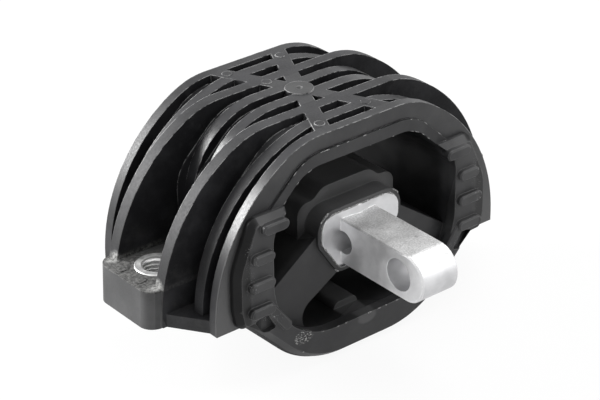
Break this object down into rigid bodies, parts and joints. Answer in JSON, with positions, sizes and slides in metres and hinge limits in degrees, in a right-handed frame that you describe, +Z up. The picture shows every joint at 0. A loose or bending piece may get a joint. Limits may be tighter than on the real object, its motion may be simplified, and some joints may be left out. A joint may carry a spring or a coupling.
{
  "type": "engine mount",
  "caption": "Ribbed plastic engine mount with a rubber bush, a cast tongue with a cross hole reaching out in front and threaded inserts in its feet.",
  "frame": {"origin": "middle of the mounting plane: half way between the two threaded inserts, on the underside of the feet", "axes": "+Z up, -Y towards the tongue's tip, +X to the right seen from the tongue"},
  "size_m": [0.172, 0.1169, 0.0959],
  "materials": {
    "plastic": "satin black glass-filled polyamide, lighter scuffs at the feet",
    "rubber": "matte black moulded rubber with pale flash specks",
    "cast_aluminium": "blasted casting, fine speckle on the upper face",
    "insert_steel": "dull zinc plating"
  },
  "bodies": {
    "root": {"housing": "plastic", "rubber_bush": "rubber", "core": "cast_aluminium", "threaded_insert_left": "insert_steel", "threaded_insert_right": "insert_steel"}
  },
  "joints": []
}
